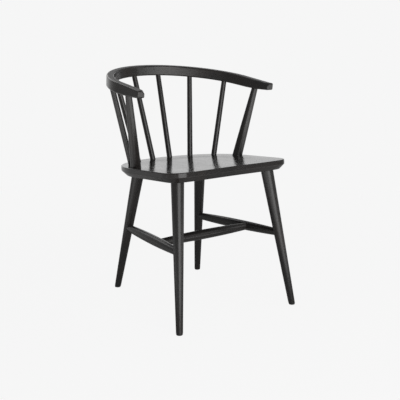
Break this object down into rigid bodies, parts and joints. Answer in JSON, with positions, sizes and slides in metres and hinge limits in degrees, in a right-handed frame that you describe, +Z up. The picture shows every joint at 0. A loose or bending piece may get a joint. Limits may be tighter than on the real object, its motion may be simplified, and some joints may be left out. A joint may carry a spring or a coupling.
{
  "type": "windsor chair",
  "caption": "Low-back windsor armchair: saddled solid seat, splayed tapered legs with an H-stretcher, slim spindles and arm posts under a bent flat arm bow, black lacquered wood",
  "frame": {"origin": "on the floor, under the middle of the chair's bounding box", "axes": "+Z up, the chair faces -Y, +X is to the right as seen from the front"},
  "size_m": [0.502, 0.5614, 0.7436],
  "materials": {
    "seat_lacquer": "satin black lacquer on a solid wood seat",
    "bow_lacquer": "satin black lacquer on steam-bent wood",
    "turned_lacquer": "satin black lacquer on turned wood",
    "glide": "dark nylon nail-on glide"
  },
  "bodies": {
    "root": {"seat": "seat_lacquer", "arm_bow": "bow_lacquer", "left_arm_post": "turned_lacquer", "right_arm_post": "turned_lacquer", "back_spindle_1": "turned_lacquer", "back_spindle_2": "turned_lacquer", "back_spindle_3": "turned_lacquer", "back_spindle_4": "turned_lacquer", "back_spindle_5": "turned_lacquer", "back_spindle_6": "turned_lacquer", "front_left_leg": "turned_lacquer", "front_right_leg": "turned_lacquer", "rear_left_leg": "turned_lacquer", "rear_right_leg": "turned_lacquer", "left_side_stretcher": "turned_lacquer", "right_side_stretcher": "turned_lacquer", "cross_stretcher": "turned_lacquer", "front_left_glide": "glide", "front_right_glide": "glide", "rear_left_glide": "glide", "rear_right_glide": "glide"}
  },
  "joints": []
}
